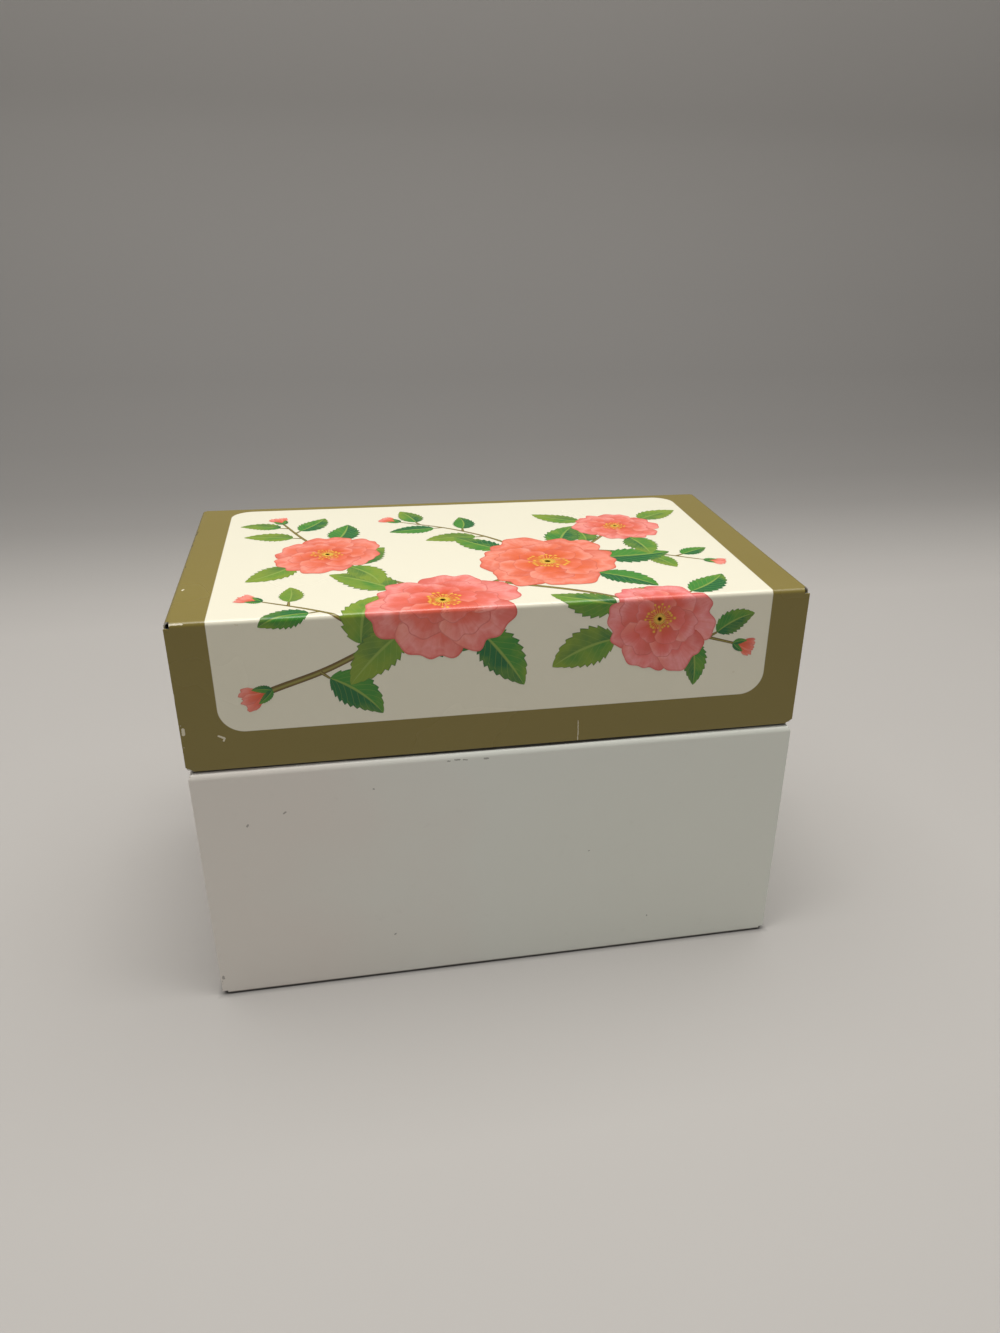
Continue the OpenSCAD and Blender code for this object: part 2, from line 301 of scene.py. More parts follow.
def stoved_white():
    """Stoved white, rosier to the left and greener to the right, with dirt, scuffs and chips;
    painted shade darkens the base fold and the seam under the lid, with some rubbing and grime.
    """
    material, tree, shader = new_material("stoved_white")
    place = places(tree)
    across, _, height = split(tree, place)
    clouds = noise(tree, place, 26, 3)
    tone = calc(tree, "ADD", across, spread(tree, clouds, 0.3, 0.7, -TONE_SWAY, TONE_SWAY))
    white = mixed(tree, spread(tree, tone, ROSY_X, PLAIN_X), ROSY_WHITE, PLAIN_WHITE)
    white = mixed(tree, spread(tree, tone, PLAIN_X, GREENISH_X), white, GREENISH_WHITE)
    dirt = spread(tree, noise(tree, place, 240, 4, 0.65), 0.62, 0.80, 0.0, 0.10)
    white = mixed(tree, dirt, white, DIRT)
    scuffs = strokes(tree, place, TRAY_SCUFFS, 0.45)
    white = mixed(tree, calc(tree, "MULTIPLY", scuffs, 0.55), white, SCUFF_DARK)
    fold = from_fold(tree, place, TRAY_W / 2, TRAY_D / 2, TRAY_Y, 0.0)
    chips = fold_chips(tree, place, fold, 0.10)
    white = mixed(tree, calc(tree, "MULTIPLY", chips, 0.7), white, CHIP_DARK)
    # Painted shade, with some rubbing, along the fold round the base
    uneven = calc(tree, "ADD", height, calc(tree, "MULTIPLY", clouds, BASE_RUB_AND_SHADE_SWAY))
    rub_and_shade = spread(tree, uneven, BASE_RUB_AND_SHADE_H, 1.3 * BASE_RUB_AND_SHADE_H, 0.85, 0.0)
    white = mixed(tree, rub_and_shade, white, BASE_RUB_AND_SHADE_DARK)
    # Painted shade, with some grime, in the seam under the lid's edge, deepest near its middle
    deepest, shallowest = SHOULDER_Z - SEAM_DEPTH, SHOULDER_Z - SEAM_END_DEPTH
    seam_low = spread(tree, apart(tree, across, SEAM_X), 0.0, SEAM_HALF, deepest, shallowest)
    over_low = calc(tree, "GREATER_THAN", height, seam_low)
    under_high = calc(tree, "LESS_THAN", height, SHOULDER_Z + SEAM_HIGH)
    seam_shade_and_grime = calc(tree, "MULTIPLY", calc(tree, "MULTIPLY", over_low, under_high), 0.85)
    white = mixed(tree, seam_shade_and_grime, white, SEAM_SHADE_AND_GRIME)
    join(tree, white, shader.inputs["Base Color"])
    join(tree, spread(tree, clouds, 0.3, 0.7, 0.33, 0.40), shader.inputs["Roughness"])
    bumped(tree, shader, noise(tree, place, 700, 2), WHITE_GRAIN, 0.5)
    return material


def tray_painted(middle, normal):
    """The outer side of the base, wall, shoulder and neck, and the inner side of the rim's
    hems. A face is on the sheet's outer side where its depth in the block is under half the
    sheet, and a fold's faces are told apart by whether they face up or down."""
    middle = middle - np.array([0.0, TRAY_Y, 0.0])
    z = middle[:, 2]
    wall = depth_in(middle, TRAY_W / 2, TRAY_D / 2)
    neck = depth_in(middle, NECK_W / 2, NECK_D / 2)
    faces_down, faces_up = normal[:, 2] < -0.05, normal[:, 2] > 0.02
    base = (z < SHEET_T / 2) | ((z < FOLD_R) & faces_down & (wall < SHEET_T / 2 + FOLD_R))
    outer_wall = (z < SHOULDER_Z) & (wall < SHEET_T / 2)
    shoulder = (np.abs(z - SHOULDER_Z) < SHOULDER_R) & faces_up & (neck < SHEET_T / 2)
    outer_neck = (z > SHOULDER_Z) & (np.abs(neck) < SHEET_T / 2)
    hems = (z > RIM_Z - HEM_H - SHEET_T) & (neck > 1.5 * SHEET_T)
    return base | outer_wall | shoulder | outer_neck | hems


coat(nodes["tray"], stoved_white(), tray_painted)


# ---- Hinge pins ----------------------------------------------------------------------
# Two straight pieces of drawn steel wire, 1.5 mm thick, that each join two ears of the tray
# and one tongue of the lid. They are dull, with the die's fine lines along them.
WIRE_DARK = (0.34, 0.33, 0.31, 1)
WIRE_BRIGHT = (0.56, 0.55, 0.52, 1)
WIRE_TARNISH = (0.26, 0.22, 0.17, 1)
WIRE_LINES = 0.005 * MM


def drawn_wire():
    """Drawn wire: lines along X, and a dull brownish film."""
    material, tree, shader = new_material("drawn_wire")
    lines = noise(tree, places(tree, (60, 4200, 4200)), 1.0, 2)
    tarnish = noise(tree, places(tree), 420, 3)
    steel = mixed(tree, lines, WIRE_DARK, WIRE_BRIGHT)
    steel = mixed(tree, spread(tree, tarnish, 0.5, 0.8), steel, WIRE_TARNISH)
    join(tree, steel, shader.inputs["Base Color"])
    shader.inputs["Metallic"].default_value = 1.0
    join(tree, spread(tree, tarnish, 0.3, 0.8, 0.30, 0.55), shader.inputs["Roughness"])
    bumped(tree, shader, lines, WIRE_LINES, 0.6)
    return material


wire = drawn_wire()
for side in ("left", "right"):
    pin = nodes["hinge_pin_" + side].data
    pin.materials.clear()
    pin.materials.append(wire)


# ---- Lid -----------------------------------------------------------------------------
# The printed shell: olive gold enamel, with a cream panel that runs from near the back of the
# top over the front fold and down the front skirt. The panel's corners are rounded. Use has
# chipped it to the pale undercoat along the folds, and scratched the border.
LID_W = 139.7 * MM
LID_D = 82.55 * MM
BOX_H = 96.8 * MM
SKIRT_Z = 62.3 * MM
# The panel in the flat sheet: x across, s back from the front fold and negative down the front
PANEL_X = -0.4 * MM
PANEL_HALF_W = 61.3 * MM
PANEL_S = (-25.5 * MM, 79.4 * MM)
PANEL_R = 5.5 * MM
PANEL_BLUR = 0.06 * MM
HINGE_X = 37.85 * MM
HINGE_Y = 40.175 * MM
HINGE_Z = 64.420 * MM
CURL_R = 0.8 * MM
TONGUE_HALF_W = 6 * MM
# Each enamel's colour where it is clear and where it is cloudy
OLIVE_GOLD = [(0.212, 0.165, 0.036, 1), (0.228, 0.179, 0.041, 1)]
CREAM = [(0.815, 0.780, 0.635, 1), (0.800, 0.760, 0.610, 1)]
UNDERCOAT = (0.70, 0.64, 0.48, 1)
NICK_DARK = (0.06, 0.04, 0.015, 1)
# How deep a chip goes, and the grain of the varnish as a share of that
CHIP_DEPTH = 0.03 * MM
VARNISH_GRAIN = 0.15
# Where the undercoat shows, as two ends and a half width in mm
LID_CHIPS = [
    ((-62.1, -41.3, 70.6), (-61.0, -41.3, 70.0), 0.22),
    ((-61.0, -41.3, 70.0), (-61.2, -41.3, 69.4), 0.20),
    ((16.7, -41.3, 62.0), (16.8, -41.3, 64.7), 0.085),
    ((16.8, -41.3, 64.7), (16.7, -41.3, 67.7), 0.07),
    ((53.3, -41.3, 77.2), (53.5, -41.3, 77.2), 0.15),
    ((-69.4, -41.0, 73.8), (-69.5, -41.0, 67.8), 0.24),
    ((-69.1, -41.2, 72.8), (-69.2, -41.2, 71.6), 0.34),
    ((-55.9, -41.2, 95.8), (-55.4, -41.2, 95.7), 0.16),
    ((-68.6, -41.1, 96.5), (-66.1, -41.1, 96.55), 0.22),
    ((-68.1, -22.0, 96.8), (-67.9, -21.4, 96.8), 0.20),
    ((-69.2, -41.0, 96.2), (-68.6, -41.0, 96.4), 0.30),
    ((69.2, -41.0, 96.2), (68.9, -41.0, 96.4), 0.28),
    ((69.4, 4.0, 96.5), (69.4, 7.5, 96.5), 0.16),
    ((69.85, -28.0, 70.0), (69.85, -27.2, 70.6), 0.25),
    ((-69.85, 8.0, 80.3), (-69.85, 13.0, 81.5), 0.09),
    ((12.0, 41.3, 84.0), (19.0, 41.3, 85.6), 0.08),
    ((-52.0, 41.3, 78.0), (-51.5, 41.3, 78.3), 0.30),
]
# Dark nicks in the paint of the left side fold
LID_NICKS = [
    ((-69.1, 21.5, 96.8), (-69.3, 18.5, 96.7), 0.20),
    ((-69.4, 14.6, 96.7), (-69.4, 13.4, 96.7), 0.18),
    ((-69.4, 10.9, 96.7), (-69.4, 9.5, 96.7), 0.22),
    ((-69.2, -5.7, 96.8), (-69.2, -6.3, 96.8), 0.16),
]


def panel_share(tree):
    """1 on the printed panel and 0 on the border round it. The sheet's coordinate is
    s = (y + D/2) - (H - z), and the panel is a rounded rectangle in x and s. Behind its back
    edge the panel ends by y alone, so that none of it comes out on the back skirt."""
    x, y, z = split(tree, places(tree))
    s = calc(tree, "SUBTRACT", calc(tree, "ADD", y, LID_D / 2), calc(tree, "SUBTRACT", BOX_H, z))
    middle, half = sum(PANEL_S) / 2, (PANEL_S[1] - PANEL_S[0]) / 2
    over_x = calc(tree, "SUBTRACT", apart(tree, x, PANEL_X), PANEL_HALF_W - PANEL_R)
    over_s = calc(tree, "SUBTRACT", apart(tree, s, middle), half - PANEL_R)
    outer = {0: calc(tree, "MAXIMUM", over_x, 0.0), 1: calc(tree, "MAXIMUM", over_s, 0.0)}
    past_corner = vector(tree, "LENGTH", add(tree, "CombineXYZ", outer).outputs[0])[1]
    inside = calc(tree, "MINIMUM", calc(tree, "MAXIMUM", over_x, over_s), 0.0)
    away = calc(tree, "ADD", past_corner, inside)
    behind = calc(tree, "SUBTRACT", y, PANEL_S[1] - LID_D / 2)
    edge = calc(tree, "MAXIMUM", calc(tree, "SUBTRACT", away, PANEL_R), behind)
    return spread(tree, edge, -PANEL_BLUR, PANEL_BLUR, 1.0, 0.0)


def lid_enamel():
    """Olive gold with the cream panel in it, under one coat of varnish. Chips show undercoat."""
    material, tree, shader = new_material("lid_enamel")
    place = places(tree)
    clouds = noise(tree, place, 30, 3)
    olive = mixed(tree, clouds, *OLIVE_GOLD)
    cream = mixed(tree, clouds, *CREAM)
    colour = mixed(tree, panel_share(tree), olive, cream)
    nicks = strokes(tree, place, LID_NICKS, 0.3)
    colour = mixed(tree, calc(tree, "MULTIPLY", nicks, 0.6), colour, NICK_DARK)
    fold = from_fold(tree, place, LID_W / 2, LID_D / 2, 0.0, BOX_H)
    struck = strokes(tree, place, LID_CHIPS, 0.35)
    chips = calc(tree, "MAXIMUM", struck, fold_chips(tree, place, fold, 0.12))
    colour = mixed(tree, chips, colour, UNDERCOAT)
    join(tree, colour, shader.inputs["Base Color"])
    varnish = spread(tree, clouds, 0.3, 0.7, 0.24, 0.28)
    dulled = calc(tree, "ADD", varnish, calc(tree, "MULTIPLY", chips, 0.2))
    join(tree, dulled, shader.inputs["Roughness"])
    grain = calc(tree, "MULTIPLY", noise(tree, place, 600, 2), VARNISH_GRAIN)
    bumped(tree, shader, calc(tree, "SUBTRACT", grain, chips), CHIP_DEPTH, 0.6)
    return material


def lid_painted(middle, normal):
    """The outer side of the top and skirts, the inner side of the hems, and the outer side of
    the two tongues that curl round the wires."""
    x, y, z = middle.T
    skirt = depth_in(middle, LID_W / 2, LID_D / 2)
    faces_up = normal[:, 2] > 0.05
    top = (z > BOX_H - SHEET_T / 2) | ((z > BOX_H - FOLD_R) & faces_up & (skirt < FOLD_R))
    ahead_of_back = y < LID_D / 2 - 4 * FOLD_R
    hems = (z < SKIRT_Z + HEM_H + SHEET_T) & (skirt > 1.5 * SHEET_T) & ahead_of_back
    sheet = top | (skirt < SHEET_T / 2) | hems
    beside_wire = np.abs(np.abs(x) - HINGE_X) < TONGUE_HALF_W
    tongue = beside_wire & (y > HINGE_Y - 2 * FOLD_R) & (z < HINGE_Z + 2 * FOLD_R)
    from_wire = np.hypot(y - HINGE_Y, z - HINGE_Z)
    return (~tongue & sheet) | (tongue & (from_wire > CURL_R + SHEET_T / 2))


coat(nodes["lid"], lid_enamel(), lid_painted)


# ---- Printed flowers -----------------------------------------------------------------
# A plain spray of open garden blossoms, leaves and buds, printed on the cream panel in coral,
# pink and greens, and varnished with it. The ink is laid over the sheet in thin films: each
# is drawn flat, in the sheet's own x and s, and then bent over the lid's front fold.
FILM_LIFT = 0.010 * MM
FILM_STEP = 0.0004 * MM
FOLD_CUTS = 9
HALF_ARC = FOLD_R * math.pi / 4
PETAL_ROWS, PETAL_COLUMNS = 13, 41
LEAF_ROWS, LEAF_COLUMNS = 73, 11
LEAF_TEETH = 9
VARNISH_ROUGHNESS = 0.26
NO_TINT = (0.0, 0.0, 0.0)
ink_random = np.random.default_rng(31)


def over_fold(flat):
    """Carries flat places (x, s, lift) onto the lid. s is measured along the outside of the
    sheet from the middle of the front fold: up to half the fold's quarter turn, a place lies on
    its arc, behind that on the top and in front of it on the skirt. Lift is along the normal."""
    x, s, lift = flat.T
    turn = math.pi / 4 + np.clip(s, -HALF_ARC, HALF_ARC) / FOLD_R
    on_top, on_front = np.maximum(s - HALF_ARC, 0.0), np.minimum(s + HALF_ARC, 0.0)
    y = -LID_D / 2 + FOLD_R - (FOLD_R + lift) * np.cos(turn) + on_top
    z = BOX_H - FOLD_R + (FOLD_R + lift) * np.sin(turn) + on_front
    return np.stack([x, y, z], axis=1)


def film(name, patches, material):
    """One ink film on the lid. A patch is (points, level, tint): a grid of flat places in mm,
    with the petal's or leaf's length down the rows and its width across the columns, which
    also make its UV map; its level in the stack of inks; and three numbers for its colours.
    The flat mesh is cut along the fold before it is bent."""
    flat, faces, uv, tints, first = [], [], [], [], 0
    for points, level, tint in patches:
        rows, columns = points.shape[:2]
        lift = np.full((rows, columns, 1), FILM_LIFT + level * FILM_STEP)
        place = np.concatenate([points * MM, lift], axis=2)
        index = first + np.arange(rows * columns).reshape(rows, columns)
        corners = [index[:-1, :-1], index[1:, :-1], index[1:, 1:], index[:-1, 1:]]
        quads = np.stack(corners, axis=-1)
        shares = np.linspace(0, 1, rows), np.linspace(0, 1, columns)
        along, across = np.meshgrid(*shares, indexing="ij")
        flat.append(place.reshape(-1, 3))
        faces.append(quads.reshape(-1, 4))
        uv.append(np.stack([along, across], axis=-1).reshape(-1, 2))
        tints.append(np.tile(tint, (rows * columns, 1)))
        first += rows * columns
    flat, faces, uv, tints = (np.concatenate(part) for part in (flat, faces, uv, tints))
    mesh = bpy.data.meshes.new(name)
    mesh.from_pydata(flat.tolist(), [], faces.tolist())
    uv_layer = mesh.uv_layers.new(name="print")
    uv_layer.data.foreach_set("uv", uv[faces.ravel()].astype(np.float32).ravel())
    tint_layer = mesh.attributes.new("tint", "FLOAT_VECTOR", "POINT")
    tint_layer.data.foreach_set("vector", tints.astype(np.float32).ravel())
    work = bmesh.new()
    work.from_mesh(mesh)
    bmesh.ops.remove_doubles(work, verts=work.verts, dist=FILM_STEP / 10)
    for s in np.linspace(-HALF_ARC, HALF_ARC, FOLD_CUTS):
        everything = work.verts[:] + work.edges[:] + work.faces[:]
        bmesh.ops.bisect_plane(work, geom=everything, plane_co=(0, s, 0), plane_no=(0, 1, 0))
    work.to_mesh(mesh)
    work.free()
    bent = np.empty(len(mesh.vertices) * 3, np.float32)
    mesh.vertices.foreach_get("co", bent)
    bent = over_fold(bent.reshape(-1, 3).astype(float))
    mesh.vertices.foreach_set("co", bent.astype(np.float32).ravel())
    mesh.shade_smooth()
    mesh.update()
    piece = bpy.data.objects.new(name, mesh)
    bpy.context.scene.collection.objects.link(piece)
    mesh.materials.append(material)
    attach(piece, "lid")


def petal(centre, reach, heading, half_angle, squash):
    """A broad petal: rays from the blossom's middle out to a rim, which falls off towards its
    sides as the cube of the share across, has a bell-shaped notch near its middle, and is
    ruffled by two sines of random phase. The whole is squashed along one direction, as a
    blossom is when it turns away."""
    out = np.linspace(0, 1, PETAL_ROWS)[:, None]
    across = np.linspace(-1, 1, PETAL_COLUMNS)[None, :]
    phase = ink_random.uniform(0, 6.28, 3)
    notch = 0.07 * np.exp(-((across - 0.25 * np.sin(phase[2])) / 0.14) ** 2)
    rim = 1 - 0.34 * np.abs(across) ** 3.0 - notch
    rim = rim + 0.030 * np.sin(5 * across + phase[0]) + 0.018 * np.sin(13 * across + phase[1])
    radius = reach * (0.06 + 0.94 * out * rim)
    angle = heading + half_angle * across * (0.30 + 0.70 * out ** 0.7)
    flat, turn = squash
    ray = np.stack([radius * np.cos(angle - turn), flat * radius * np.sin(angle - turn)], axis=-1)
    c, d = math.cos(turn), math.sin(turn)
    return np.array(centre) + ray @ np.array([[c, d], [-d, c]])


def dot(centre, radius, columns=13):
    """A round dot, as rings about its middle."""
    away = np.linspace(0, radius, 4)[:, None]
    angle = np.linspace(0, 2 * math.pi, columns)[None, :]
    return np.array(centre) + np.stack([away * np.cos(angle), away * np.sin(angle)], axis=-1)


def leaf(foot, heading, length, width, bend):
    """A toothed leaf: its midrib turns evenly by the bend, and its width rises and falls as a
    sine of the length, widest a little below the middle, with saw teeth that point to the tip."""
    along = np.linspace(0, 1, LEAF_ROWS)[:, None]
    across = np.linspace(-1, 1, LEAF_COLUMNS)[None, :]
    angle = heading + bend * (along - 0.5)
    step = np.concatenate([np.cos(angle), np.sin(angle)], axis=1) * length / (LEAF_ROWS - 1)
    midrib = np.array(foot) + np.cumsum(step, axis=0) - step[0]
    saw = np.mod(along * LEAF_TEETH, 1) - 0.5
    teeth = 1 + 0.20 * saw * np.abs(across) ** 3 * (along < 0.97)
    half = width / 2 * np.sin(math.pi * along ** 0.74) ** 0.80 * teeth
    side = np.concatenate([-np.sin(angle), np.cos(angle)], axis=1)
    return midrib[:, None, :] + (across * half)[..., None] * side[:, None, :]


def smooth_line(points, count):
    """A curve through the points: cubic pieces whose slope at a point is half the step between
    its neighbours."""
    points = np.array(points, float)
    ends = np.vstack([2 * points[0] - points[1], points, 2 * points[-1] - points[-2]])
    t = np.linspace(0, len(points) - 1 - 1e-9, count)
    k, f = t.astype(int), (t % 1)[:, None]
    a, b, c, d = ends[k], ends[k + 1], ends[k + 2], ends[k + 3]
    return b + 0.5 * f * (c - a + f * (2 * a - 5 * b + 4 * c - d + f * (3 * (b - c) + d - a)))


def stem(line, thick, thin):
    """A strip along a line, square to its slope, that tapers evenly from thick to thin."""
    way = np.gradient(line, axis=0)
    side = np.stack([-way[:, 1], way[:, 0]], axis=1) / np.linalg.norm(way, axis=1)[:, None]
    half = np.linspace(thick, thin, len(line))[:, None, None] / 2
    return line[:, None, :] + np.linspace(-1, 1, 5)[None, :, None] * half * side[:, None, :]


def varnished(name):
    """A print material's start: its tree, its shader with the panel's gloss, the UV map's two
    coordinates, along and across, and the three parts of the tint."""
    material, tree, shader = new_material(name)
    shader.inputs["Roughness"].default_value = VARNISH_ROUGHNESS
    bumped(tree, shader, noise(tree, places(tree), 600, 2), VARNISH_GRAIN * CHIP_DEPTH, 0.6)
    along, across, _ = split(tree, add(tree, "TexCoord").outputs["UV"])
    tint = split(tree, add(tree, "Attribute", attribute_name="tint").outputs["Vector"])
    return material, tree, shader, along, across, tint


def ramp(tree, value, stops):
    """Colours along a value, from (place, colour) pairs in rising order. A new ramp has two
    stops of its own, which take the first two pairs."""
    made = add(tree, "ValToRGB", {0: value})
    elements = made.color_ramp.elements
    for i, (place, colour) in enumerate(stops):
        stop = elements[i] if i < 2 else elements.new(place)
        stop.position = place
        stop.color = (*colour, 1)
    return made.outputs[0]


# Colours from a petal's foot to its rim, and those of its marks
CORAL = [
    (0.0, (0.66, 0.105, 0.012)), (0.30, (0.76, 0.125, 0.025)), (0.62, (0.81, 0.175, 0.078)),
    (0.86, (0.88, 0.300, 0.205)), (1.0, (0.82, 0.200, 0.115)),
]
PINK = [
    (0.0, (0.64, 0.078, 0.028)), (0.30, (0.75, 0.107, 0.082)), (0.62, (0.80, 0.175, 0.165)),
    (0.86, (0.87, 0.320, 0.325)), (1.0, (0.79, 0.198, 0.205)),
]
PETAL_VEIN = (0.68, 0.105, 0.050, 1)
PETAL_LIGHT = (0.90, 0.370, 0.265, 1)
PETAL_SHADE = (0.60, 0.075, 0.035, 1)
PETAL_RIM = (0.50, 0.050, 0.030, 1)


def petal_ink():
    """Orange at the foot, through coral, to paler pink near the rim, with fine veins, cloudy
    washes, one side in the shade of the next petal and a thin dark rim. The tint's parts are
    the share of pink, how deep in the blossom the petal lies, and a number of its own."""
    material, tree, shader, along, across, (pinkness, depth, own) = varnished("petal_ink")
    length = calc(tree, "MULTIPLY", along, 2.2)
    width = calc(tree, "MULTIPLY", across, 26)
    slice_at = calc(tree, "MULTIPLY", own, 9)
    vein_place = add(tree, "CombineXYZ", {0: length, 1: width, 2: slice_at}).outputs[0]
    veins = spread(tree, noise(tree, vein_place, 1.0, 3), 0.46, 0.62)
    wash = calc(tree, "SUBTRACT", noise(tree, places(tree), 230, 3), 0.5)
    tone = calc(tree, "ADD", along, calc(tree, "MULTIPLY", wash, 0.9))
    tone = calc(tree, "SUBTRACT", tone, calc(tree, "MULTIPLY", depth, 0.30))
    colour = mixed(tree, pinkness, ramp(tree, tone, CORAL), ramp(tree, tone, PINK))
    colour = mixed(tree, calc(tree, "MULTIPLY", veins, 0.20), colour, PETAL_VEIN)
    colour = mixed(tree, spread(tree, across, 0.28, 0.0, 0.0, 0.40), colour, PETAL_LIGHT)
    colour = mixed(tree, spread(tree, across, 0.58, 1.0, 0.0, 0.60), colour, PETAL_SHADE)
    side = apart(tree, calc(tree, "MULTIPLY", across, 2.0), 1.0)
    side_rim, end_rim = spread(tree, side, 0.95, 0.98), spread(tree, along, 0.968, 0.99)
    rim = calc(tree, "MAXIMUM", side_rim, end_rim)
    colour = mixed(tree, calc(tree, "MULTIPLY", rim, 0.42), colour, PETAL_RIM)
    join(tree, colour, shader.inputs["Base Color"])
    return material


DEEP_GREEN = [(0.005, 0.105, 0.030, 1), (0.010, 0.175, 0.032, 1)]
GRASS_GREEN = [(0.016, 0.190, 0.028, 1), (0.080, 0.285, 0.024, 1)]
LEAF_YELLOW = (0.235, 0.325, 0.026, 1)
LEAF_VEIN = (0.270, 0.380, 0.065, 1)
LEAF_EDGE = (0.005, 0.070, 0.025, 1)


def leaf_ink():
    """Deep green on one side of the midrib and grass green on the other, turning to yellow
    green at the tip and edge, with pale veins. The tint's first part is the share of yellow."""
    material, tree, shader, along, across, (yellow, _, _) = varnished("leaf_ink")
    side = calc(tree, "SUBTRACT", across, 0.5)
    out = calc(tree, "ABSOLUTE", side)
    wash = noise(tree, places(tree), 260, 3)
    deep = mixed(tree, wash, *DEEP_GREEN)
    grass = mixed(tree, wash, *GRASS_GREEN)
    half = mixed(tree, spread(tree, side, -0.02, 0.02), deep, grass)
    patchy = calc(tree, "SUBTRACT", calc(tree, "ADD", yellow, wash), 1.0)
    outward = calc(tree, "MULTIPLY", calc(tree, "ADD", along, out), 0.45)
    yellowed = spread(tree, calc(tree, "ADD", outward, patchy), 0.10, 0.75, 0.0, 0.85)
    colour = mixed(tree, yellowed, half, LEAF_YELLOW)
    ribs_along = calc(tree, "MULTIPLY", along, 8.0)
    slope = calc(tree, "SUBTRACT", ribs_along, calc(tree, "MULTIPLY", out, 5.0))
    ribs = spread(tree, apart(tree, calc(tree, "FRACT", slope), 0.5), 0.07, 0.02, 0.0, 0.40)
    veins = calc(tree, "MAXIMUM", ribs, spread(tree, out, 0.045, 0.02, 0.0, 0.85))
    colour = mixed(tree, veins, colour, LEAF_VEIN)
    colour = mixed(tree, spread(tree, out, 0.462, 0.485, 0.0, 0.45), colour, LEAF_EDGE)
    join(tree, colour, shader.inputs["Base Color"])
    return material


BARK = [(0.100, 0.055, 0.018, 1), (0.190, 0.125, 0.028, 1)]
STEM_LIGHT = (0.290, 0.265, 0.055, 1)


def stem_ink():
    """Olive brown, lighter and greener along the middle."""
    material, tree, shader, _, across, _ = varnished("stem_ink")
    bark = mixed(tree, noise(tree, places(tree), 500, 3), *BARK)
    lit = spread(tree, apart(tree, across, 0.45), 0.30, 0.05)
    join(tree, mixed(tree, lit, bark, STEM_LIGHT), shader.inputs["Base Color"])
    return material


GOLD_DOT = [(0.88, 0.56, 0.06, 1), (0.70, 0.22, 0.03, 1)]
OLIVE_STIPPLE = [(0.20, 0.17, 0.02, 1), (0.50, 0.42, 0.05, 1)]


def centre_ink():
    """Gold dots with an orange rim, and an olive middle where the tint's first part is 1."""
    material, tree, shader, along, _, (middle_share, _, _) = varnished("centre_ink")
    gold = mixed(tree, along, *GOLD_DOT)
    stipple = spread(tree, noise(tree, places(tree), 1500, 2), 0.4, 0.6)
    middle = mixed(tree, stipple, *OLIVE_STIPPLE)
    join(tree, mixed(tree, middle_share, gold, middle), shader.inputs["Base Color"])
    return material


# Stems: the places in mm that one passes through, its thickness at either end, the length of
# its leaves, and the shares of its own length at which they grow, on one side and the other
STEMS = [
    ([(-50, -16), (-36, -11), (-20, -2), (-4, 12), (12, 24), (26, 37), (38, 53)],
     1.5, 0.8, 17.0, (0.13, 0.22, 0.31, 0.68, 0.77, 0.86)),
    ([(2, 14), (18, 6), (32, -4), (43, -9), (52.5, -12)], 1.3, 0.6, 13.5, (0.36, 0.74, 0.84)),
    ([(-10, 8), (-24, 20), (-35, 36), (-43, 53), (-48, 66)],
     1.3, 0.6, 15.5, (0.40, 0.76, 0.84, 0.93)),
    ([(14, 26), (6, 44), (-5, 56), (-18, 64)], 1.1, 0.5, 14.0, (0.46, 0.60, 0.74, 0.88)),
    ([(24, 35), (40, 30), (52.5, 23)], 1.0, 0.5, 12.5, (0.50, 0.76)),
    ([(-28, -6), (-40, 3), (-51, 9.5)], 1.0, 0.5, 12.5, (0.45, 0.75)),
]
# Blossoms: the middle's x and s, radius, turn, share of pink, how much it is squashed and
# along which direction, whether it lies over its neighbours, and the headings of the leaves
# that stand out from behind it
BLOSSOMS = [
    (-13.0, 5.0, 17.0, 0.3, 0.65, (0.93, 0.4), False, (-2.35, -0.95, 2.45)),
    (14.5, 27.0, 19.0, 0.9, 0.10, (0.90, 1.2), True, (0.10, 1.15, 2.30, -0.75)),
    (34.5, -5.0, 13.5, 0.1, 0.90, (0.90, 2.2), False, (-2.75, 0.75, 2.75)),
    (-37.0, 39.5, 14.0, 0.6, 0.25, (0.86, 0.8), False, (1.35, 3.90, -1.10)),
    (38.0, 53.0, 12.5, 0.2, 0.55, (0.87, 1.9), False, (0.55, 2.55, -1.45)),
]
# Buds at the ends of stems: x, s, heading and length
BUDS = [
    (-50, -16, 3.5, 7.0), (52.5, -12, -0.30, 5.5), (-48, 66, 1.9, 6.0), (-18, 64, 2.5, 6.0),
    (52.5, 23, -0.5, 5.5), (-51, 9.5, 2.6, 6.0),
]
# The rings of petals in a blossom: how many, their share of its radius, and their half angle
RINGS = [(6, 1.0, 0.68), (6, 0.76, 0.66), (5, 0.50, 0.74)]
# The petals and sepals of a bud: how each one is turned from its heading, in radians
BUD_TURNS = (-0.30, 0.30, 0.0)
SEPAL_TURNS = (-0.42, 0.42)
# How far out from a blossom's middle its leaves come out, as a share of its radius
LEAF_FOOT = 0.62
STALK_L = 2.4
FILAMENTS = 26
# Levels in the stack of inks, from the stems at 0. A blossom that lies over its neighbours is
# OVER_LEVEL higher than they are
STALK_LEVEL = 1
LEAF_LEVEL = 2
BUD_LEVEL = 60
BLOSSOM_LEVEL = 64
OVER_LEVEL = 22
CENTRE_LEVEL = 110

stems, leaves, petals, centres = [], [], [], []


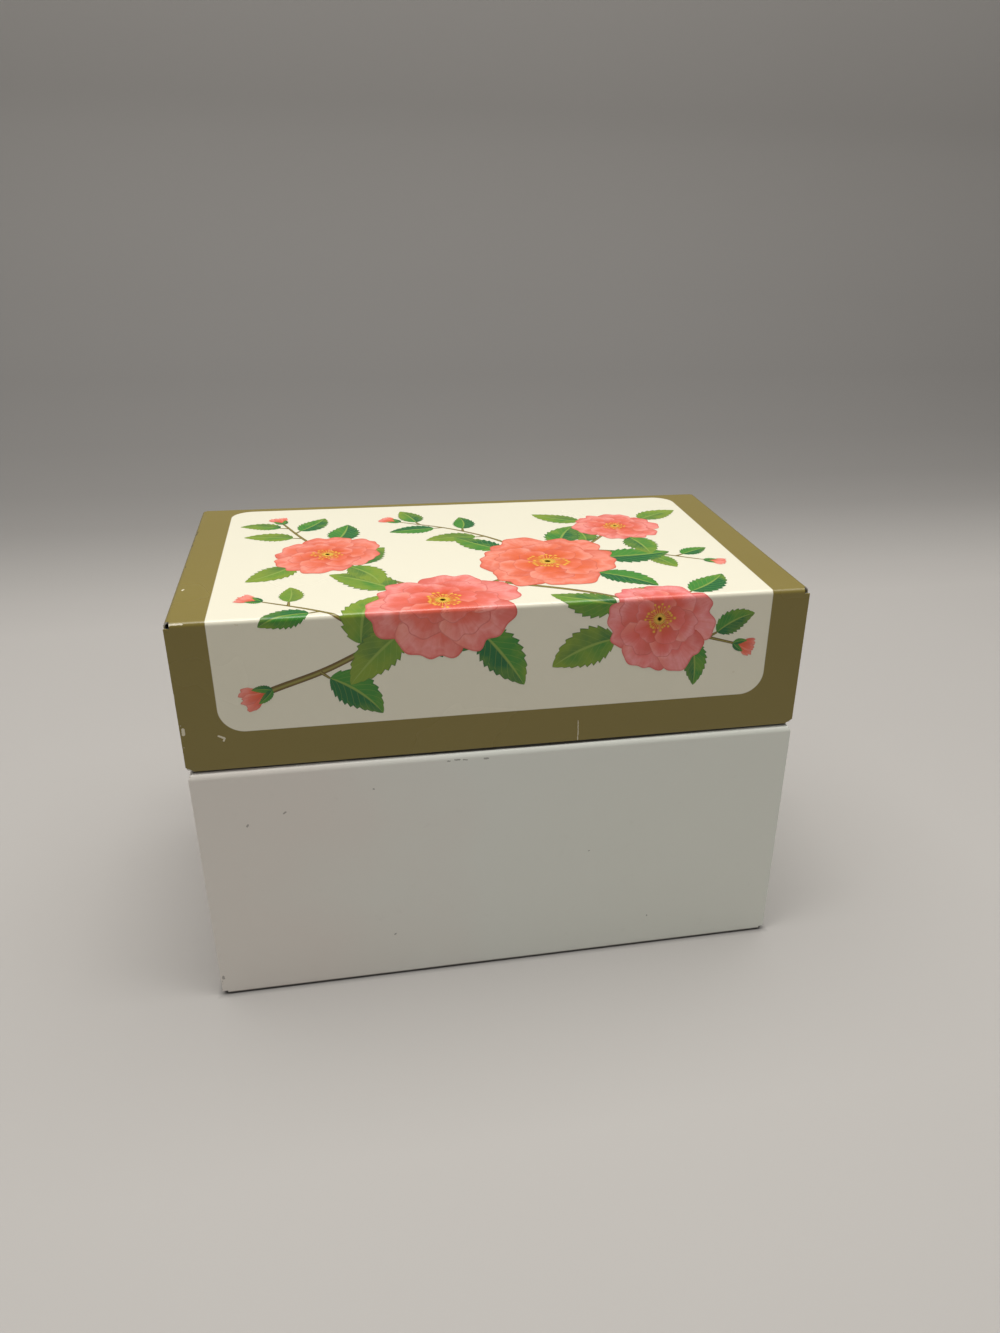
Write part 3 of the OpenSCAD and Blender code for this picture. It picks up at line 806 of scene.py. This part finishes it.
def grow_leaf(start, heading, length):
    """Adds a leaf and its stalk, the leaf at a level of its own."""
    stalk_end = np.array(start) + STALK_L * np.array([math.cos(heading), math.sin(heading)])
    stems.append((stem(np.linspace(start, stalk_end, 6), 0.75, 0.5), STALK_LEVEL, NO_TINT))
    size = length * ink_random.uniform(0.86, 1.10)
    width = size * ink_random.uniform(0.50, 0.60)
    bend = ink_random.choice([-1, 1]) * ink_random.uniform(0.25, 0.75)
    tint = (ink_random.uniform(0.15, 0.85), 0.0, ink_random.uniform(0, 1))
    blade = leaf(stalk_end, heading, size, width, bend)
    leaves.append((blade, LEAF_LEVEL + len(leaves), tint))


for number, (points, thick, thin, leaf_l, shares) in enumerate(STEMS):
    line = smooth_line(points, 90)
    stems.append((stem(line, thick, thin), 0, NO_TINT))
    way = np.gradient(line, axis=0)
    for k, share in enumerate(shares):
        at = int(share * (len(line) - 1))
        lean = (1 if (k + number) % 2 else -1) * ink_random.uniform(0.75, 1.10)
        heading = math.atan2(way[at, 1], way[at, 0]) + lean
        grow_leaf(line[at], heading, leaf_l * (1.0 - 0.30 * share))
for x, s, radius, turn, pinkness, squash, over, headings in BLOSSOMS:
    for heading in headings:
        out = LEAF_FOOT * radius
        foot = (x + out * math.cos(heading), s + out * math.sin(heading))
        grow_leaf(foot, heading, 6.0 + 0.62 * radius)
    level = BLOSSOM_LEVEL + (OVER_LEVEL if over else 0)
    for ring, (count, reach, half_angle) in enumerate(RINGS):
        for k in range(count):
            heading = turn + 2 * math.pi * k / count + ink_random.uniform(-0.09, 0.09)
            size = radius * reach * ink_random.uniform(0.92, 1.06)
            tint = (pinkness, ring / 2, ink_random.uniform(0, 1))
            petals.append((petal((x, s), size, heading, half_angle, squash), level, tint))
            level += 1
        turn += math.pi / 5
    centres.append((dot((x, s), radius * 0.10, 25), CENTRE_LEVEL, (1.0, 0.0, 0.0)))
    for k in range(FILAMENTS):
        angle = 2 * math.pi * k / FILAMENTS
        away = radius * ink_random.uniform(0.15, 0.27)
        place = (x + away * math.cos(angle), s + away * math.sin(angle))
        tip = dot(place, radius * ink_random.uniform(0.020, 0.030))
        filament = stem(np.linspace((x, s), place, 5), radius * 0.014, radius * 0.010)
        centres.append((tip, CENTRE_LEVEL + 2, NO_TINT))
        centres.append((filament, CENTRE_LEVEL + 1, NO_TINT))
for x, s, heading, length in BUDS:
    for k, turn in enumerate(BUD_TURNS):
        blade = petal((x, s), length, heading + turn, 0.26, (1.0, 0.0))
        petals.append((blade, BUD_LEVEL + k, (0.4, 0.3, k / 3)))
    for k, turn in enumerate(SEPAL_TURNS):
        sepal = leaf((x, s), heading + turn, length * 0.62, length * 0.26, -turn)
        leaves.append((sepal, BUD_LEVEL + len(BUD_TURNS) + k, (0.3, 0.0, 0.5)))
film("print_stems", stems, stem_ink())
film("print_leaves", leaves, leaf_ink())
film("print_petals", petals, petal_ink())
film("print_centres", centres, centre_ink())


# ---- Table, light and camera ---------------------------------------------------------
# The box stands on a pale sheet of paper that sweeps up behind it, under one broad soft lamp
# and a smaller one that draws a bright line along the folds.
PAPER_FRONT_Y = -1.2
PAPER_BEND_Y = 0.20
PAPER_BEND_R = 0.22
PAPER_BEND_POINTS = 40
PAPER_TOP_Z = 1.6
PAPER_HALF_W = 1.6


def paper_sweep():
    """A flat floor, a quarter circle and an upright back, as one strip carried along X."""
    turn = np.linspace(0.0, math.pi / 2, PAPER_BEND_POINTS)
    arc_y = PAPER_BEND_Y + PAPER_BEND_R * np.sin(turn)
    arc_z = PAPER_BEND_R * (1 - np.cos(turn))
    y = np.concatenate([[PAPER_FRONT_Y], arc_y, [arc_y[-1]]])
    z = np.concatenate([[0.0], arc_z, [PAPER_TOP_Z]])
    x = np.array([[-PAPER_HALF_W], [PAPER_HALF_W]])
    points = np.stack(np.broadcast_arrays(x, y, z), axis=-1).reshape(-1, 3)
    n = len(y)
    first = np.arange(n - 1)
    faces = np.stack([first, first + n, first + n + 1, first + 1], axis=1)
    mesh = bpy.data.meshes.new("paper_sweep")
    mesh.from_pydata(points.tolist(), [], faces.tolist())
    mesh.shade_smooth()
    return bpy.data.objects.new("paper_sweep", mesh)


# The card's colour where it is clear and where it is cloudy
PAPER_GREY = [(0.437, 0.418, 0.400, 1), (0.457, 0.439, 0.421, 1)]
# Painted contact shadow against the box: how far it reaches in under the folded edge and out
# from it
CONTACT_SHADOW_IN = 0.8 * MM
CONTACT_SHADOW_OUT = 1.4 * MM
CONTACT_SHADOW = (0.10, 0.095, 0.09, 1)
PAPER_TOOTH = 0.02 * MM
# Painted shade up the sweep: how far up, as y + z in metres, and the share of the floor's
# brightness painted there
PAPER_PAINTED_SHADE = [
    (0.20, 1.00), (0.235, 0.90), (0.27, 0.75), (0.31, 0.56), (0.345, 0.47), (0.39, 0.42),
    (0.45, 0.40), (0.52, 0.45), (0.62, 0.56), (1.0, 0.63),
]


def pale_paper():
    """Matt grey-white card with a very faint tooth, with painted shade where it stands up at the
    back and a painted contact shadow against the box."""
    material, tree, shader = new_material("pale_paper")
    place = places(tree)
    tooth = noise(tree, place, 900, 3)
    x, y, z = split(tree, place)
    # Painted shade, darker up the sweep at the back
    greys = [(up, (share,) * 3) for up, share in PAPER_PAINTED_SHADE]
    painted_shade = ramp(tree, calc(tree, "ADD", y, z), greys)
    cloudy = mixed(tree, noise(tree, place, 5, 2), *PAPER_GREY)
    shaded = {0: 1.0, 6: cloudy, 7: painted_shade}
    card = add(tree, "Mix", shaded, data_type="RGBA", blend_type="MULTIPLY").outputs[2]
    # Painted contact shadow round the box's foot
    beside = calc(tree, "SUBTRACT", calc(tree, "ABSOLUTE", x), TRAY_W / 2)
    ahead = calc(tree, "SUBTRACT", apart(tree, y, TRAY_Y), TRAY_D / 2)
    away = calc(tree, "MAXIMUM", beside, ahead)
    shadow_share = spread(tree, away, -CONTACT_SHADOW_IN, CONTACT_SHADOW_OUT, 0.62, 0.0)
    join(tree, mixed(tree, shadow_share, card, CONTACT_SHADOW), shader.inputs["Base Color"])
    shader.inputs["Roughness"].default_value = 0.75
    bumped(tree, shader, tooth, PAPER_TOOTH, 0.4)
    return material


paper = paper_sweep()
bpy.context.scene.collection.objects.link(paper)
paper.data.materials.append(pale_paper())

# The lamps and the room's own light, all a little warm
LAMP_WHITE = (1.0, 0.985, 0.95)
ROOM_WHITE = (1.0, 0.985, 0.965, 1)
ROOM_STRENGTH = 0.225


def soft_lamp(name, place, aim, size, watts):
    """A rectangular lamp at a place, turned to face the aim."""
    data = bpy.data.lights.new(name, "AREA")
    data.shape = "RECTANGLE"
    data.size, data.size_y = size
    data.energy = watts
    data.color = LAMP_WHITE
    lamp = bpy.data.objects.new(name, data)
    to_aim = np.array(aim) - np.array(place)
    lamp.rotation_mode = "QUATERNION"
    lamp.rotation_quaternion = Vector(to_aim).to_track_quat("-Z", "Y")
    lamp.location = place
    bpy.context.scene.collection.objects.link(lamp)


soft_lamp("lamp_overhead", (0.0, 0.12, 0.9), (0.0, 0.12, 0.0), (1.2, 0.95), 10.0)
soft_lamp("lamp_fold", (0.0, -0.11, 0.9), (0.0, -0.11, 0.0), (0.5, 0.14), 2.2)

world = bpy.data.worlds.new("room")
world.use_nodes = True
background = world.node_tree.nodes["Background"]
background.inputs["Color"].default_value = ROOM_WHITE
background.inputs["Strength"].default_value = ROOM_STRENGTH
bpy.context.scene.world = world

# The camera as found from the box's own edges: its place, its axes, its focal length and the
# point that it looks at, both in pixels of a frame 1000 wide and 1333 high
CAMERA_AT = (-0.032907, -0.240857, 0.175053)
CAMERA_RIGHT = (0.978957, -0.202999, 0.020848)
CAMERA_DOWN = (-0.073263, -0.444970, -0.892544)
CAMERA_AHEAD = (0.190462, 0.872234, -0.450479)
FOCAL_PX = 1010.21
MIDDLE_PX = (552.84, 705.49)
FRAME_PX = (1000, 1333)
SENSOR = 36.0

camera_data = bpy.data.cameras.new("camera")
camera_data.sensor_width = SENSOR
camera_data.lens = FOCAL_PX * SENSOR / FRAME_PX[1]
camera_data.shift_x = (FRAME_PX[0] / 2 - MIDDLE_PX[0]) / FRAME_PX[1]
camera_data.shift_y = (MIDDLE_PX[1] - FRAME_PX[1] / 2) / FRAME_PX[1]
camera_data.clip_start = 0.01
camera = bpy.data.objects.new("camera", camera_data)
turned = np.stack([CAMERA_RIGHT, np.negative(CAMERA_DOWN), np.negative(CAMERA_AHEAD)], axis=1)
camera.matrix_world = Matrix.LocRotScale(CAMERA_AT, Matrix(turned.tolist()).to_quaternion(), None)
bpy.context.scene.collection.objects.link(camera)
bpy.context.scene.camera = camera
bpy.context.scene.view_settings.view_transform = "Standard"

bpy.context.view_layer.update()
